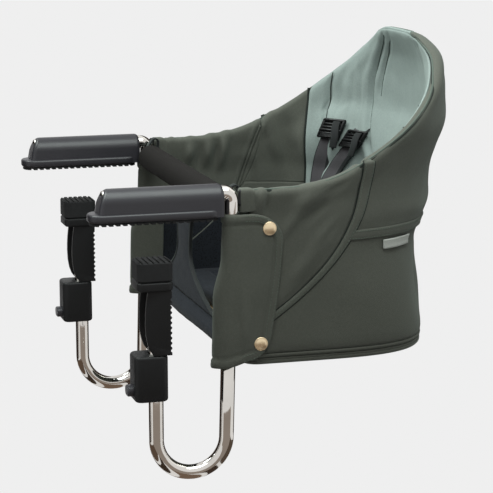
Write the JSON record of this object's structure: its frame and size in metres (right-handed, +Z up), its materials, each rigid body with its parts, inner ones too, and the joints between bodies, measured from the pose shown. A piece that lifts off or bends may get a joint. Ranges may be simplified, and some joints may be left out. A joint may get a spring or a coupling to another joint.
{
  "type": "hook-on table chair",
  "caption": "Child's hook-on chair: padded fabric seat on a chrome tube frame that hangs from a table edge by two arms and sliding ratchet clamps on swivelling stems.",
  "frame": {"origin": "on the table-top plane, at the table edge, midway between the two arms", "axes": "+Z up; -Y points over the table and +Y to the chair's back; +X is the seated child's left"},
  "size_m": [0.438, 0.4507, 0.457],
  "materials": {
    "chrome": "polished chrome plate",
    "steel": "plain steel",
    "black_plastic": "satin black moulding",
    "matte_black": "matte black moulding",
    "rubber": "ribbed black rubber",
    "foam": "closed-cell foam",
    "webbing": "woven webbing",
    "twill": "dark olive twill",
    "pale_twill": "pale sage twill",
    "dark_mesh": "dark mesh",
    "plywood": "birch plywood",
    "brass": "pale gold press stud"
  },
  "bodies": {
    "frame": {"side_tube_left": "chrome", "side_tube_right": "chrome", "retaining_pin_left": "steel", "retaining_pin_right": "steel", "cross_tube": "chrome", "seat_tube": "chrome", "crossbar_sleeve": "foam", "front_roll": "twill", "keeper_loop_left": "webbing", "keeper_loop_right": "webbing", "arm_grip_left": "black_plastic", "arm_grip_right": "black_plastic", "grip_sole_left": "rubber", "grip_sole_right": "rubber", "side_panel_left": "twill", "side_panel_right": "twill", "lower_back_panel": "twill", "upper_back_panel": "twill", "back_pad": "pale_twill", "rim_roll": "twill", "back_hoop": "steel", "hoop_socket_left": "matte_black", "hoop_socket_right": "matte_black", "base_tray": "twill", "seat_board": "plywood", "base_piping": "twill", "seat_pad": "pale_twill", "front_apron": "twill", "crotch_panel": "dark_mesh", "flap_left": "twill", "flap_right": "twill", "press_stud_upper_left": "brass", "press_stud_upper_right": "brass", "press_stud_lower_left": "brass", "press_stud_lower_right": "brass", "harness_strap_outer": "webbing", "strap_adjuster_outer": "black_plastic", "harness_strap_inner": "webbing", "strap_adjuster_inner": "black_plastic"},
    "clamp_arm_left": {"clamp_arm_left": "chrome", "swivel_spigot_left": "steel", "stem_cap_left": "matte_black"},
    "clamp_unit_left": {"clamp_housing_left": "matte_black", "clamp_post_left": "matte_black", "clamp_pad_left": "rubber", "pawl_left": "steel", "pawl_pin_left": "steel", "pawl_spring_left": "steel"},
    "button_left": {"release_button_left": "black_plastic"},
    "clamp_arm_right": {"clamp_arm_right": "chrome", "swivel_spigot_right": "steel", "stem_cap_right": "matte_black"},
    "clamp_unit_right": {"clamp_housing_right": "matte_black", "clamp_post_right": "matte_black", "clamp_pad_right": "rubber", "pawl_right": "steel", "pawl_pin_right": "steel", "pawl_spring_right": "steel"},
    "button_right": {"release_button_right": "black_plastic"}
  },
  "joints": [
    {"name": "arm_swivel_left", "type": "hinge", "parent": "frame", "child": "clamp_arm_left", "pos_m": [0.2, 0.00759, -0.16], "axis": [0, -0.0288, -0.9996], "range_deg": [0, 60]},
    {"name": "clamp_slide_left", "type": "slide", "parent": "clamp_arm_left", "child": "clamp_unit_left", "axis": [0, 0, 1], "range_m": [-0.04, 0.021]},
    {"name": "release_left", "type": "slide", "parent": "clamp_unit_left", "child": "button_left", "axis": [0, 1, 0], "range_m": [0, 0.0024], "stiffness_N_per_m": 900, "springref_m": -0.001},
    {"name": "arm_swivel_right", "type": "hinge", "parent": "frame", "child": "clamp_arm_right", "pos_m": [-0.2, 0.00759, -0.16], "axis": [0, 0.0288, 0.9996], "range_deg": [0, 60]},
    {"name": "clamp_slide_right", "type": "slide", "parent": "clamp_arm_right", "child": "clamp_unit_right", "axis": [0, 0, 1], "range_m": [-0.04, 0.021]},
    {"name": "release_right", "type": "slide", "parent": "clamp_unit_right", "child": "button_right", "axis": [0, 1, 0], "range_m": [0, 0.0024], "stiffness_N_per_m": 900, "springref_m": -0.001}
  ]
}
